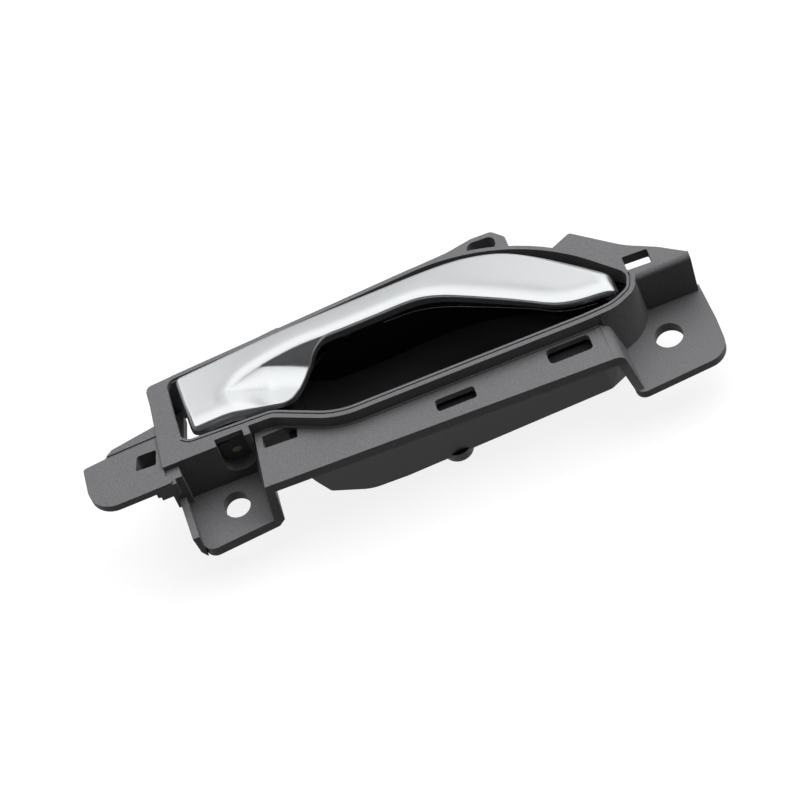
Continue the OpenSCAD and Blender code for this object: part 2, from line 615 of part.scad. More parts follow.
// Cup liner: one black moulding behind the opening, wider at its mouth than at its floor.
module cup_floor_2d(inset) {
    offset(delta = -inset) outline([[cup_left, -4.9, 3], [open_right - 15, -1.6, 4], [open_right - 2.4, 4.4, 8],
        [open_right - 1.4, 15.4, 5], [sweep_x + 0.4, top_y(sweep_x) - 2.4, sweep_r],
        [cup_left, top_y(cup_left) - 1.8, 15]]);
}
module cup_mouth_2d(inset) {
    offset(delta = -inset) outline([[cup_left, -4.9, 3], [open_right - 15, -1.6, 4], [open_right - 1, 3.6, 8],
        [open_right + 2, 14.9, 3], [sweep_x + 0.6, top_y(sweep_x) + 1.2, sweep_r],
        [cup_left, top_y(cup_left) + 1.2, 9]]);
}
module cup_form(inset, floor_z, mouth_z) {
    difference() {
        hull() {
            slab(floor_z, floor_z + 0.01) cup_floor_2d(inset);
            slab(mouth_z - 0.01, mouth_z) cup_mouth_2d(inset);
        }
        // Room for the carrier's flared wall, and for the tab and the skirts outside it.
        difference() {
            block([open_right - 13 - inset, -20, -rim_rise - right_lip - 0.4 - inset],
                [open_right + 20, right_low + wall_t + 0.5 + inset, 1]);
            flare(wall_t + 0.4 + inset, -rim_rise - right_lip - 3 - inset, -1);
        }
    }
}
module cup_profile(inset) {
    offset(delta = -inset) outline([[cup_left, -cup_seat + 6, 0], [cup_left, -cup_seat - 1.5, 1], [cup_left + cup_slant, -24.4, 2.5],
        [cup_left + 17.4, -cup_depth + 1.1, 12], [cup_left + 29, -cup_depth, 0], [open_right + 4, -cup_depth, 0],
        [open_right + 4, -cup_seat + 6, 0]]);
}
module cup_liner() {
    color(black) placed() difference() {
        union() {
            difference() {
                intersection() {
                    cup_form(0, -cup_depth, -rim_depth);
                    along_y(-20, 60) cup_profile(0);
                    // The mouth meets the rim's wall above, and stays under the flange below.
                    union() {
                        slab(-far, -cup_seat) square(400, center = true);
                        slab(-far, far) difference() {
                            translate([cup_left - 1, 17]) square([200, 60]);
                            grown(-1.2);
                        }
                    }
                }
                intersection() {
                    cup_form(cup_wall, -cup_depth, -rim_depth + cut);
                    along_y(-20, 60) cup_profile(cup_wall);
                }
            }
            // Shelf under the flange, and the ledge that carries the closed stop.
            slab(-cup_seat - 2.4, -cup_seat) intersection() {
                cup_floor_2d(0.5);
                translate([cup_left + 2, -20]) square([open_right + 20, 20 + open_low - 2.4]);
            }
            slab(stop_top - 5, stop_top - 1.6) intersection() {
                cup_floor_2d(0.5);
                translate([lever_tip - 11, 13.4]) square([20, 7.2]);
            }
            // Ears for the screws, and the bosses on the back.
            slab(-cup_seat - 2.4, -cup_seat) {
                for (p = liner_screws) translate([p[0], p[1]]) circle(r = boss_r);
                for (i = [0 : 3]) translate([liner_screws[i][0], liner_screws[i][1]]) rotate(ear_turn[i])
                    translate([0, -boss_r * 0.9]) square([ear_reach[i], boss_r * 1.8]);
            }
            for (p = [[11.4, 0.4], [-12, 30], [52, 26]]) bar_z(p[0], p[1], foot_d / 2, -cup_depth - foot_h, -cup_depth + 1);
        }
        for (p = liner_screws) bar_z(p[0], p[1], screw_d / 2 + shank_gap, -far, cut);
        // Drain slots beside the front boss.
        for (x = [7, 14.8]) bar_z(x, 27.2, 0.9, -cup_depth - 1, -cup_depth + 5);
    }
}

// Lever: satin face shell, black core with knuckles and cable arm, and the cover on the finger side.
shell_xs = crowded(lever_left, lever_tip, 64);
shell_vs = [for (j = [0 : 18]) (1 - cos(180 * j / 18)) / 2];
module lever_shell() {
    color(satin) placed() difference() {
        strip_solid(shell_xs, shell_vs, function (x) lever_y0(x), function (x) lever_y1(x),
            function (x, y) face_z(x, y), function (x, y) under_z(x, y));
        for (p = lever_screws) bar_z(p[0], p[1], screw_d / 2, -far, 0.4);
    }
}
module lever_2d(inset, from, to) {
    xs = [for (k = [0 : 26]) from + (to - from) * k / 26];
    function high(x) = min(lever_y1(x + inset), lever_y1(max(x - inset, lever_left))) - inset;
    function low(x) = max(lever_y0(x + inset), lever_y0(max(x - inset, lever_left))) + inset;
    polygon(concat([for (x = xs) [x, high(x)]], [for (k = [26 : -1 : 0]) [xs[k], low(xs[k])]]));
}
module lever_core() {
    y0 = root_low + 0.8;
    y1 = upper_knuckle_y + knuckle_w;
    color(black) placed() difference() {
        union() {
            // Band under the grip, plate under the root, and the beam that joins them beside the dish.
            slab(band_low, -shell_low) lever_2d(0.8, -13, lever_tip - 2.4);
            slab(band_low - 0.2, -shell_low) lever_2d(0.8, lever_left + 0.8, -48);
            block([-50, 35, -7], [-12.6, y1 + 0.7, -shell_low]);
            block([lever_left + 1.4, y0, -7], [-48, y1, band_low]);
            // Root steps down under the dish.
            slab(-9, -2.6) lever_2d(0.8, -48.5, -43);
            slab(-8.8, -4.4) lever_2d(0.8, -43.4, -38.2);
            slab(-8.6, -6.2) lever_2d(0.8, -38.6, -34);
            slab(-8.7, -8.2) lever_2d(0.8, -36, -15);
            block([-46, y0 + 1, -13.4], [cup_left - 0.5, y1, -8]);
            for (y = [lower_knuckle_y, upper_knuckle_y]) {
                bar_y(pivot_x, pivot_z, knuckle_r, y, y + knuckle_w);
                block([pivot_x - knuckle_r + 0.4, y, pivot_z + 1],
                    [pivot_x + knuckle_r - 0.4, y + knuckle_w, band_low - 0.6]);
            }
            // Cable arm on the lower knuckle.
            along_y(lower_knuckle_y, lower_knuckle_y + knuckle_w) translate([pivot_x, pivot_z]) hull() {
                circle(r = knuckle_r - 0.6);
                translate([0, -arm_reach + 1]) circle(r = nipple_d / 2 + 1.4);
            }
        }
        for (y = [lower_knuckle_y, upper_knuckle_y])
            bar_y(pivot_x, pivot_z, bush_r, y - 1, y + knuckle_w + 1);
        bar_y(pivot_x, pivot_z, coil_r + wire_d / 2 + 0.6, lower_knuckle_y + knuckle_w, upper_knuckle_y);
        // Room for the carrier's upper pivot boss.
        bar_y(pivot_x, pivot_z, knuckle_r + 0.5, upper_ear_low - 0.4, 60);
        // Seat for the cable's end, and the slot for its wire.
        bar_y(pivot_x, pivot_z - arm_reach + 1, nipple_d / 2, lower_knuckle_y + 1.4, lower_knuckle_y + knuckle_w + 1);
        block([pivot_x - 8, lower_knuckle_y + 1.4, pivot_z - arm_reach + 1 - wire_slot / 2],
            [pivot_x, lower_knuckle_y + knuckle_w + 1, pivot_z - arm_reach + 1 + wire_slot / 2]);
        for (p = lever_screws) bar_z(p[0], p[1], screw_d / 2 + shank_gap, -far, 1);
        bar_z(lever_screws[0][0], lever_screws[0][1], head_d / 2 + 0.2, -far, band_low + 0.2);
    }
}
module grip_cover() {
    xs = crowded(-4, lever_tip - 1.4, 36);
    vs = [for (j = [0 : 8]) (1 - cos(180 * j / 8)) / 2];
    function y0(x) = lever_y0(x + 0.6) + 1.2;
    function y1(x) = lever_y1(x + 0.6) - 1.2;
    function belly(x, y) =
        let (w = max(0.5, (y1(x) - y0(x)) / 2), s = (y - (y0(x) + y1(x)) / 2) / w)
        band_low - 1 - (cover_depth - 1) * sqrt(max(0, 1 - s * s)) * min(1, (lever_tip - 1.4 - x) / 4 + 0.3)
        * min(1, (x + 4) / 10 + 0.2);
    color(black) placed() difference() {
        strip_solid(xs, vs, function (x) y0(x), function (x) y1(x), function (x, y) band_low,
            function (x, y) belly(x, y));
        for (i = [1, 2]) {
            bar_z(lever_screws[i][0], lever_screws[i][1], screw_d / 2 + shank_gap, -far, 1);
            bar_z(lever_screws[i][0], lever_screws[i][1], head_d / 2 + 0.2, -far, band_low - 1);
        }
    }
}

// Pivot pin, its clip, the bushes and the washer between lever and lower ear.
module pivot_pin() {
    color(zinc) placed() difference() {
        bar_y(pivot_x, pivot_z, pin_d / 2, lower_ear[0] + 0.2, skirt_y + 4);
        translate([pivot_x, skirt_y + 2.9, pivot_z]) rotate([90, 0, 0]) difference() {
            cylinder(d = pin_d + 1, h = 0.7);
            translate([0, 0, -cut]) cylinder(d = pin_d - 0.8, h = 0.7 + 2 * cut);
        }
    }
}
module pin_clip() {
    color(steel) placed() translate([pivot_x, skirt_y + 2.85, pivot_z]) rotate([90, 0, 0]) difference() {
        cylinder(d = pin_d + 3.6, h = 0.6);
        translate([0, 0, -1]) cylinder(d = pin_d - 0.7, h = 3);
        translate([-0.9, -10, -1]) cube([1.8, 10, 3]);
    }
}
module bush(y, side) {
    color(acetal) placed() difference() {
        union() {
            bar_y(pivot_x, pivot_z, bush_r, y, y + knuckle_w);
            bar_y(pivot_x, pivot_z, bush_r + 1.2, side < 0 ? y - bush_flange : y + knuckle_w,
                side < 0 ? y : y + knuckle_w + bush_flange);
        }
        bar_y(pivot_x, pivot_z, pin_d / 2 + run_gap, y - 5, y + knuckle_w + 5);
    }
}
module bush_lower() { bush(lower_knuckle_y, -1); }
module thrust_washer() {
    y = lower_knuckle_y + knuckle_w;
    color(steel) placed() difference() {
        bar_y(pivot_x, pivot_z, coil_r + wire_d / 2, y, y + 0.25);
        bar_y(pivot_x, pivot_z, pin_d / 2 + 0.1, y - 1, y + 1);
    }
}
module bush_upper() { bush(upper_knuckle_y, 1); }

// Torsion spring: a coil round the pin with one leg under the lever's root and one on the tie bar.
module wire_tube(p, r, sides = 8) {
    n = len(p);
    dirs = [for (i = [0 : n - 1]) unit(p[min(i + 1, n - 1)] - p[max(i - 1, 0)])];
    rings = [for (i = [0 : n - 1])
        let (a = unit(cross(dirs[i], [0.13, 0.97, 0.2])), b = cross(dirs[i], a))
        [for (k = [0 : sides - 1]) p[i] + r * (a * cos(360 * k / sides) + b * sin(360 * k / sides))]];
    polyhedron([for (ring = rings) each ring], concat(
        [[for (k = [0 : sides - 1]) k]],
        [for (i = [0 : n - 2], k = [0 : sides - 1])
            [i * sides + k, (i + 1) * sides + k, (i + 1) * sides + (k + 1) % sides, i * sides + (k + 1) % sides]],
        [[for (k = [sides - 1 : -1 : 0]) (n - 1) * sides + k]]));
}
module return_spring() {
    y0 = lower_knuckle_y + knuckle_w + wire_d / 2 + 0.3;
    y1 = upper_knuckle_y - wire_d / 2 - 0.3;
    turn_from = -82;
    turn_to = 90 + 360 * (coil_turns - 1);
    steps = 18 * coil_turns;
    coil = [for (k = [0 : steps]) let (a = turn_from + (turn_to - turn_from) * k / steps)
        [pivot_x + coil_r * cos(a), y0 + (y1 - y0) * k / steps, pivot_z + coil_r * sin(a)]];
    color(steel) placed() wire_tube(concat(
        [[lever_left + 1.6, y0, tongue_top + wire_d / 2 + 0.05]],
        coil, [[lever_left + 5, y1, pivot_z + coil_r], [lever_left + 2, y1, pivot_z + coil_r]]), wire_d / 2);
}

// Rubber stops.
module bumper_closed() {
    color(rubber) placed() block([lever_tip - 10.4, 14, stop_top - 1.6], [lever_tip - 6.2, 20, stop_top]);
}
module bumper_open() {
    color(rubber) placed() bar_z(lever_left + 1, root_low + 1.6, 1.8, tongue_top, tongue_top + 1.4);
}

// Clip that keeps the cable's end in the arm.
module cable_keeper() {
    y = lower_knuckle_y + knuckle_w;
    color(acetal) placed() difference() {
        along_y(y, y + 1.2) translate([pivot_x, pivot_z - arm_reach + 1]) circle(d = nipple_d + 2.4);
        block([pivot_x - 8, y - 1, pivot_z - arm_reach + 1 - wire_slot / 2],
            [pivot_x, y + 3, pivot_z - arm_reach + 1 + wire_slot / 2]);
    }
}

// Self-tapping screws, head towards the back.
module screw(p, seat, length) {
    color(steel) placed() {
        bar_z(p[0], p[1], screw_d / 2, seat - 0.1, seat + length);
        difference() {
            bar_z(p[0], p[1], head_d / 2, seat - head_h, seat);
            for (a = [0, 90]) translate([p[0], p[1], seat - head_h - cut]) rotate(a)
                translate([-head_d * 0.3, -0.35, 0]) cube([head_d * 0.6, 0.7, 0.8]);
        }
    }
}

carrier();
cup_liner();
lever_shell();
lever_core();
grip_cover();
pivot_pin();
pin_clip();
bush_lower();
bush_upper();
thrust_washer();
return_spring();
bumper_closed();
bumper_open();
cable_keeper();
screw(lever_screws[0], band_low + 0.2, 4.4);  // lever_screw_1
screw(lever_screws[1], band_low - 1, 5.4);  // lever_screw_2
screw(lever_screws[2], band_low - 1, 5.4);  // lever_screw_3
for (i = [0 : 3])
    screw(liner_screws[i], -cup_seat - 2.4, 5.2);
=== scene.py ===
import json
import math

import bmesh
import bpy
from mathutils import Matrix, Vector


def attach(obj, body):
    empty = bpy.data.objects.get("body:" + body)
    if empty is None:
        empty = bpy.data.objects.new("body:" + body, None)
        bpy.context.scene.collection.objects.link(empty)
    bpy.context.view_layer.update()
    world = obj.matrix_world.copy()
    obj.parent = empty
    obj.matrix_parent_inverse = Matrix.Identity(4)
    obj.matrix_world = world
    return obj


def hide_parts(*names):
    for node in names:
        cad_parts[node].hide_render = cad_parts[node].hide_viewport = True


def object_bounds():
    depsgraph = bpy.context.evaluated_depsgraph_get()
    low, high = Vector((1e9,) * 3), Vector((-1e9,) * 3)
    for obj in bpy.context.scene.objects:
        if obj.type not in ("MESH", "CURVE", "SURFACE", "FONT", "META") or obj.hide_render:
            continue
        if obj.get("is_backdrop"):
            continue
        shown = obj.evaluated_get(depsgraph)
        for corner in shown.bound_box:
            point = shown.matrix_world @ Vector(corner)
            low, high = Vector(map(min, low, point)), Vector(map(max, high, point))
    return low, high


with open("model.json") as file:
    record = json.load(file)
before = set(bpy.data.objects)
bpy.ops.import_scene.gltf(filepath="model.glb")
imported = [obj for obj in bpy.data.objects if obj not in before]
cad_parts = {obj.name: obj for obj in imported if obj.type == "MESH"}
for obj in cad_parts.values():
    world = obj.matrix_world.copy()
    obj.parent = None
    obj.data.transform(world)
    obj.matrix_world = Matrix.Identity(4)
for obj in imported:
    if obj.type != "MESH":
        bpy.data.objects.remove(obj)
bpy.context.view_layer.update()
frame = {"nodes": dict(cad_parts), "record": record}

# The frame's origin, the round screw hole, measured from the middle of the rim face, in mm.
HOLE = Vector((83.3, -1.3, -18.0))
MM = 0.001


def row(x, y, z):
    """A point given from the rim face, in mm, in the frame's metres."""
    return (Vector((x, y, z)) - HOLE) * MM


# ---------------------------------------------------------------- materials
BLOTCH_SCALE, BLOTCH_DETAIL = 60, 4     # soft patches of colour and roughness
FLECK_SCALE, FLECK_DETAIL = 2600, 1     # fine light and dark grains of a moulded surface
GRAIN_DETAIL = 2
GRAIN_HEIGHT = 0.00006


def noise(nodes, links, coord, scale, detail):
    """The factor of a noise that is fixed to the piece."""
    node = nodes.new("ShaderNodeTexNoise")
    node.inputs["Scale"].default_value = scale
    node.inputs["Detail"].default_value = detail
    links.new(coord.outputs["Object"], node.inputs["Vector"])
    return node.outputs["Fac"]


def remap(nodes, links, value, low, high, start=0.0, end=1.0):
    """value, carried from start..end to low..high."""
    node = nodes.new("ShaderNodeMapRange")
    node.inputs["From Min"].default_value = start
    node.inputs["From Max"].default_value = end
    node.inputs["To Min"].default_value = low
    node.inputs["To Max"].default_value = high
    links.new(value, node.inputs["Value"])
    return node


def material(name, colour, rough, grain, bump, vary, metal=0.0, spec=0.5, fleck=0.0):
    """A procedural finish: constant values on the shader, noise for colour, roughness and bump."""
    m = bpy.data.materials.new(name)
    m.use_nodes = True
    nodes, links = m.node_tree.nodes, m.node_tree.links
    bsdf = nodes["Principled BSDF"]
    bsdf.inputs["Base Color"].default_value = (*colour, 1)
    bsdf.inputs["Roughness"].default_value = rough
    bsdf.inputs["Metallic"].default_value = metal
    bsdf.inputs["Specular IOR Level"].default_value = spec
    coord = nodes.new("ShaderNodeTexCoord")

    patches = noise(nodes, links, coord, BLOTCH_SCALE, BLOTCH_DETAIL)
    mix = nodes.new("ShaderNodeMix")
    mix.data_type = "RGBA"
    mix.inputs["A"].default_value = (*[c * (1 - vary) for c in colour], 1)
    mix.inputs["B"].default_value = (*[min(1, c * (1 + vary)) for c in colour], 1)
    links.new(patches, mix.inputs["Factor"])
    tint = mix.outputs["Result"]
    if fleck:
        specks = noise(nodes, links, coord, FLECK_SCALE, FLECK_DETAIL)
        level = remap(nodes, links, specks, 1 - fleck, 1 + fleck, 0.3, 0.7)
        grainy = nodes.new("ShaderNodeVectorMath")
        grainy.operation = "SCALE"
        links.new(tint, grainy.inputs[0])
        links.new(level.outputs["Result"], grainy.inputs["Scale"])
        tint = grainy.outputs["Vector"]
    links.new(tint, bsdf.inputs["Base Color"])
    ramp = remap(nodes, links, patches, rough * 0.92, min(1, rough * 1.1))
    links.new(ramp.outputs["Result"], bsdf.inputs["Roughness"])

    relief = nodes.new("ShaderNodeBump")
    relief.inputs["Strength"].default_value = bump
    relief.inputs["Distance"].default_value = GRAIN_HEIGHT
    links.new(noise(nodes, links, coord, grain, GRAIN_DETAIL), relief.inputs["Height"])
    links.new(relief.outputs["Normal"], bsdf.inputs["Normal"])
    return m


MATERIALS = {name: material(name, colour, rough, grain, bump, vary, **more)
             for name, colour, rough, grain, bump, vary, more in (
    ("moulded_trim", (0.145, 0.145, 0.150), 0.5, 2600, 0.6, 0.06, {"spec": 0.1, "fleck": 0.16}),
    ("cup_plastic", (0.021, 0.021, 0.022), 0.34, 1400, 0.05, 0.05, {"spec": 0.25}),
    ("satin_metal", (0.645, 0.66, 0.672), 0.28, 2200, 0.02, 0.015, {"metal": 1.0}),
    ("black_core", (0.016, 0.016, 0.017), 0.4, 1500, 0.06, 0.05, {}),
    ("black_gloss", (0.008, 0.008, 0.009), 0.16, 1500, 0.02, 0.04, {}),
    ("zinc_pin", (0.55, 0.47, 0.30), 0.34, 1800, 0.1, 0.06, {"metal": 1.0}),
    ("spring_steel", (0.45, 0.45, 0.46), 0.32, 1800, 0.05, 0.05, {"metal": 1.0}),
    ("screw_steel", (0.42, 0.42, 0.43), 0.34, 1800, 0.05, 0.05, {"metal": 1.0}),
    ("bearing_plastic", (0.62, 0.61, 0.57), 0.45, 1500, 0.04, 0.03, {}),
    ("stop_rubber", (0.02, 0.02, 0.02), 0.75, 1600, 0.2, 0.05, {}),
)}
SLOT_OF = {s["node"]: s["material_slot"] for s in frame["record"]["subparts"]}
BODY_OF = {n: body for body, names in frame["record"]["behaviour"]["bodies"].items() for n in names}


def paint(obj, slot):
    obj.data.materials.clear()
    obj.data.materials.append(MATERIALS[slot])
    for poly in obj.data.polygons:
        poly.material_index = 0


def smooth(mesh):
    for poly in mesh.polygons:
        poly.use_smooth = True


def placed(name, mesh):
    obj = bpy.data.objects.new(name, mesh)
    bpy.context.scene.collection.objects.link(obj)
    return obj


def worn_by(obj, node):
    """Puts obj in a CAD node's place, with its finish and its body."""
    paint(obj, SLOT_OF[node])
    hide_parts(node)
    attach(obj, BODY_OF[node])


for name, node in frame["nodes"].items():
    paint(node, SLOT_OF[name])
smooth(frame["nodes"]["return_spring"].data)

# ---------------------------------------------------------------- softened mouldings
WELD = 2e-6
FLAT_ANGLE, BEVEL_ANGLE, SHARP_ANGLE = (math.radians(a) for a in (1, 32, 50))


def softened(node, width):
    """A copy of a CAD node's mesh whose edges carry the small radius of a moulding."""
    mesh = frame["nodes"][node].data.copy()
    obj = placed(node + "_moulding", mesh)
    bm = bmesh.new()
    bm.from_mesh(mesh)
    bmesh.ops.remove_doubles(bm, verts=bm.verts, dist=WELD)
    bmesh.ops.dissolve_limit(bm, angle_limit=FLAT_ANGLE, verts=bm.verts, edges=bm.edges)
    bm.to_mesh(mesh)
    bm.free()
    bevel = obj.modifiers.new("edge radius", "BEVEL")
    bevel.width = width
    bevel.segments = 2
    bevel.limit_method = "ANGLE"
    bevel.angle_limit = BEVEL_ANGLE
    weighted = obj.modifiers.new("weighted normals", "WEIGHTED_NORMAL")
    weighted.keep_sharp = True
    smooth(mesh)
    deps = bpy.context.evaluated_depsgraph_get()
    done = bpy.data.meshes.new_from_object(obj.evaluated_get(deps))
    obj.modifiers.clear()
    obj.data = done
    done.set_sharp_from_angle(angle=SHARP_ANGLE)
    worn_by(obj, node)


for moulding, edge_radius in (("carrier", 0.35), ("cup_liner", 0.5), ("lever_core", 0.3)):
    softened(moulding, edge_radius * MM)

# ---------------------------------------------------------------- the lever's outline, in mm
# UPPER and LOWER are the part's own edges; FACE_LOW, FACE_HIGH and RIDGE are those of the metal face.
LEFT, TIP = -62.4, 73.6
OPEN_LEFT, OPEN_HIGH = -66, 38.8
SLOPE = math.tan(math.radians(3.4))


def top_y(x):
    """Upper edge of the opening."""
    return OPEN_HIGH + SLOPE * (x - OPEN_LEFT)


GRIP_TOP = top_y(0) - 2.2
GRIP_LOW = GRIP_TOP - 6.6
ROOT_LOW = 19.1
UPPER = [(LEFT, top_y(LEFT) - 0.9), (-20, top_y(-20) - 1.7), (8, GRIP_TOP + 0.1), (24, GRIP_TOP + 0.2),
         (TIP - 39.4, GRIP_TOP - 0.8), (TIP - 29, GRIP_TOP - 3.8), (TIP - 19, GRIP_TOP - 9.9),
         (TIP - 9, GRIP_TOP - 17.6), (TIP, GRIP_TOP - 25.6)]
LOWER = [(LEFT, ROOT_LOW), (-37, ROOT_LOW), (-32, ROOT_LOW + 1.2), (-26, ROOT_LOW + 5.4),
         (-20, GRIP_LOW - 4.9), (-14, GRIP_LOW - 1), (-7, GRIP_LOW), (6, GRIP_LOW + 0.1),
         (15, GRIP_LOW - 0.4), (23, GRIP_LOW - 2.8), (33, GRIP_LOW - 7.8), (TIP - 26, GRIP_LOW - 15.8),
         (TIP - 20, GRIP_LOW - 19.8), (TIP - 14.6, GRIP_LOW - 21.9), (TIP - 7, GRIP_LOW - 23),
         (TIP, GRIP_LOW - 23.6)]
FACE_LOW = [(LEFT, 17.5), (-50, 17.5), (-41, 17.2), (-36, 16.6), (-33, 16.7), (-30, 18), (-27.2, 20.8),
            (-24.2, 24.4), (-21.4, 27.8), (-18.4, 30.4), (-14.5, 31.9), (-7, 32.1), (4, 32.3), (12, 32.5),
            (18, 31.9), (24, 29.8), (30, 26.6), (36, 23.1), (42, 19.5), (48, 15.7), (52, 13.1), (56, 11.2),
            (61, 10), (67, 9.5), (TIP, 9)]
FACE_HIGH = [(LEFT, top_y(LEFT) - 0.92), (-50, top_y(-50) - 1.15), (-40, top_y(-40) - 1.12),
             (-20, top_y(-20) - 1.25), (8, GRIP_TOP + 0.4), (24, GRIP_TOP + 0.5),
             (TIP - 39.4, GRIP_TOP - 0.4), (TIP - 29, GRIP_TOP - 3.4), (TIP - 19, GRIP_TOP - 9.5),
             (TIP - 9, GRIP_TOP - 17.4), (TIP, GRIP_TOP - 25.6)]
RIDGE = [(-66, 23), (-60, 24), (-54, 25.3), (-48, 27), (-42, 28.9), (-36, 30.4), (-30, 31.5), (-24, 32.2),
         (-16, 32.4), (-8, 32.2)]


def curve(points, x):
    """Height of a smooth curve through the points at x."""
    i = 0
    while i < len(points) - 2 and x > points[i + 1][0]:
        i += 1

    def slope(k):
        p, q = points[max(k - 1, 0)], points[min(k + 1, len(points) - 1)]
        return (q[1] - p[1]) / (q[0] - p[0])

    w = points[i + 1][0] - points[i][0]
    t = (x - points[i][0]) / w
    return ((2 * t ** 3 - 3 * t * t + 1) * points[i][1] + (t ** 3 - 2 * t * t + t) * w * slope(i)
            + (3 * t * t - 2 * t ** 3) * points[i + 1][1] + (t ** 3 - t * t) * w * slope(i + 1))


def nip(s, r):
    """How far a corner of radius r draws an edge in, at s from its end."""
    return 0 if s >= r else r - math.sqrt(max(0, r * r - (r - max(s, 0)) ** 2))


def high_edge(x):
    return curve(UPPER, x) - nip(x - LEFT, 2.5) - nip(TIP - x, 2.4)


def low_edge(x):
    return curve(LOWER, x) + nip(x - LEFT, 3) + nip(TIP - x, 0.6)


def face_high(x):
    return curve(FACE_HIGH, x) - nip(x - LEFT, 2.5) - nip(TIP - x, 2.4)


def face_low(x):
    return curve(FACE_LOW, x) + nip(x - LEFT, 2.6) + nip(TIP - x, 2)


# ---------------------------------------------------------------- the face's relief, in mm
FACE_TOP, FACE_FLOOR = 1.99, -6.4
# Zones along the lever in which a form grows in: where it starts, and over what length.
ROOT_ZONE, ARM_ZONE, GRIP_ZONE, END_ZONE = (-37, -8), (-18, 6), (12, 16), (48, 18)
RIM_ZONE, RAMP_ZONE = (-53, 12), (-53, 8)
# Fall of the face towards its two ends: depth and length.
LEFT_FALL, TIP_FALL, TIP_FALL_START = (1.1, 34), (1.2, 63.6), 10
# Crown along the lower edge: depth, width and power, and what the grip adds to depth and width.
ROOT_CROWN, ARM_CROWN, GRIP_CROWN = (1.25, 8, 2.3), (1.05, 6, 2.5), (0.15, 2)
# Rolled edges: width and depth, and what a zone adds to them.
HIGH_ROLL, END_ROLL = (0.85, 1), (2.3, 0.6)
LOW_ROLL, ROOT_ROLL = (0.55, 0.7), (0.9, 0.9)
LEFT_ROLL, TIP_ROLL = (1.8, 1.7), (5.5, 1.9)
CREASE = 0.3
# The distance from the lower edge is taken square to it: the step that finds its lean, and the most it leans.
STEP, STEEPEST = 0.2, 3
# Dish below the ridge: the rim's own fall, then a steep wall, then a ramp that flattens out.
DISH_END = -12
RIM_DROP, RIM_WIDTH, RIM_POWER = 1.05, 6, 2.6
WALL_START, WALL_GROWTH, WALL_EASE, WALL_SLOPE = -35.5, 0.19, 0.5, 1.15
RAMP_START, RAMP_GROWTH, RAMP_WIDTHS = -49.5, 0.6, (0.4, 8.5)
RAMP_SLOPE, RAMP_CURL = 0.46, 0.18


def ease(t):
    c = min(1, max(0, t))
    return c * c * (3 - 2 * c)


def grown(x, zone):
    """0 before the zone, 1 past it."""
    start, length = zone
    return ease((x - start) / length)


def roll(s, w, d):
    """Drop of an edge of width w and depth d that rolls over, at s from the edge."""
    return 0 if s >= w else d * (1 - math.sqrt(max(0, 1 - (1 - max(s, 0) / w) ** 2)))


def edge(s, size, more=(0, 0), share=0):
    return roll(s, size[0] + more[0] * share, size[1] + more[1] * share)


def most(values):
    """Greatest of the drops, with the creases between them rounded."""
    top = max(values)
    total = (sum(math.exp((v - top) / CREASE) for v in values)
             - (len(values) - 1) * math.exp(-top / CREASE))
    return top + CREASE * math.log(max(1e-9, total))


def crown(x, s, root, arm):
    """Drop of the crown at s from the lower edge."""
    grip = grown(x, GRIP_ZONE)
    depth, width, power = ROOT_CROWN
    drop = depth * root * max(0, 1 - s / width) ** power
    depth, width, power = ARM_CROWN
    width += GRIP_CROWN[1] * grip
    return drop + (depth + GRIP_CROWN[0] * grip) * arm * max(0, 1 - s / width) ** power


def dish(x, t, fade):
    """Drop of the dish at t below the ridge, where fade takes it out towards the arm."""
    rim = RIM_DROP * grown(x, RIM_ZONE) * fade
    if t <= 0:
        return rim * max(0, 1 + t / RIM_WIDTH) ** RIM_POWER
    along = x - WALL_START
    wall = WALL_GROWTH * (along + math.sqrt(along ** 2 + WALL_EASE)) * fade
    narrowest, widest = RAMP_WIDTHS
    wide = min(widest, max(narrowest, RAMP_GROWTH * (x - RAMP_START)))
    easy = min(wide, max(0, t - wall / WALL_SLOPE))
    ramp = (RAMP_SLOPE * easy - RAMP_CURL * easy * easy / wide) * grown(x, RAMP_ZONE) * fade
    return rim + min(wall, WALL_SLOPE * t) + ramp


def face_z(x, y, y0, y1):
    """Height of the lever's face between its lower edge y0 and its upper edge y1."""
    lean = (face_low(min(x + STEP, TIP)) - face_low(max(x - STEP, LEFT))) / (2 * STEP)
    s = (y - y0) / math.sqrt(1 + min(STEEPEST ** 2, lean * lean))
    root, arm = grown(x, ROOT_ZONE), grown(x, ARM_ZONE)
    z = FACE_TOP - LEFT_FALL[0] * max(0, 1 - (x - LEFT) / LEFT_FALL[1]) ** 2
    z -= TIP_FALL[0] * max(0, (x - TIP_FALL_START) / TIP_FALL[1]) ** 2
    z -= crown(x, s, root, arm)
    z -= most([edge(y1 - y, HIGH_ROLL, END_ROLL, grown(x, END_ZONE)), edge(s, LOW_ROLL, ROOT_ROLL, root),
               edge(x - LEFT, LEFT_ROLL), edge(TIP - x, TIP_ROLL)])
    if x < DISH_END:
        z -= dish(x, curve(RIDGE, x) - y, 1 - arm)
    return max(z, FACE_FLOOR)


# ---------------------------------------------------------------- the lever's skins
SKIN_SHARP = math.radians(62)


